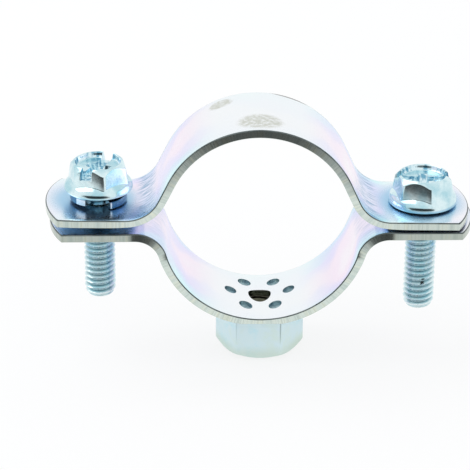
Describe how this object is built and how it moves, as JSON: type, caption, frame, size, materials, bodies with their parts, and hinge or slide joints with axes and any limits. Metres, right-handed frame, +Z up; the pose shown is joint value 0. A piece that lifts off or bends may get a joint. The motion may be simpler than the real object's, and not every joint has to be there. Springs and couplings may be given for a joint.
{
  "type": "pipe clamp",
  "caption": "Two bent steel half straps joined by hex flange screws through flat ears, with a threaded hexagonal boss welded under the lower strap.",
  "frame": {"origin": "the centre of the boss's lower face, at the mouth of its threaded hole", "axes": "+Y along the pipe, +Z up from the boss towards the upper strap, +X towards the right-hand screw"},
  "size_m": [0.0822, 0.0196, 0.0496],
  "materials": {
    "strap_steel": "bright zinc plate, blue passivated",
    "boss_steel": "dull zinc plate",
    "screw_steel": "bright zinc plate, blue passivated",
    "washer_steel": "bright zinc plate"
  },
  "bodies": {
    "base": {"lower_half": "strap_steel", "boss": "boss_steel"},
    "top": {"upper_half": "strap_steel", "spring_washer_left": "washer_steel"},
    "left_screw": {"screw_left": "screw_steel"},
    "right_screw": {"screw_right": "screw_steel"}
  },
  "joints": [
    {"name": "closing", "type": "slide", "parent": "base", "child": "top", "axis": [0, 0, 1], "range_m": [-0.0004, 0.013]},
    {"name": "left_turn", "type": "hinge", "parent": "top", "child": "left_screw", "pos_m": [-0.03123, 0, 0], "axis": [0, 0, 1], "range_deg": [-130, 4190]},
    {"name": "right_turn", "type": "hinge", "parent": "top", "child": "right_screw", "pos_m": [0.03123, 0, 0], "axis": [0, 0, 1], "range_deg": [-130, 4190]}
  ],
  "couplings": [
    {"joint": "left_turn", "follows": "closing", "rad_per_m": 5610},
    {"joint": "right_turn", "follows": "closing", "rad_per_m": 5610}
  ]
}
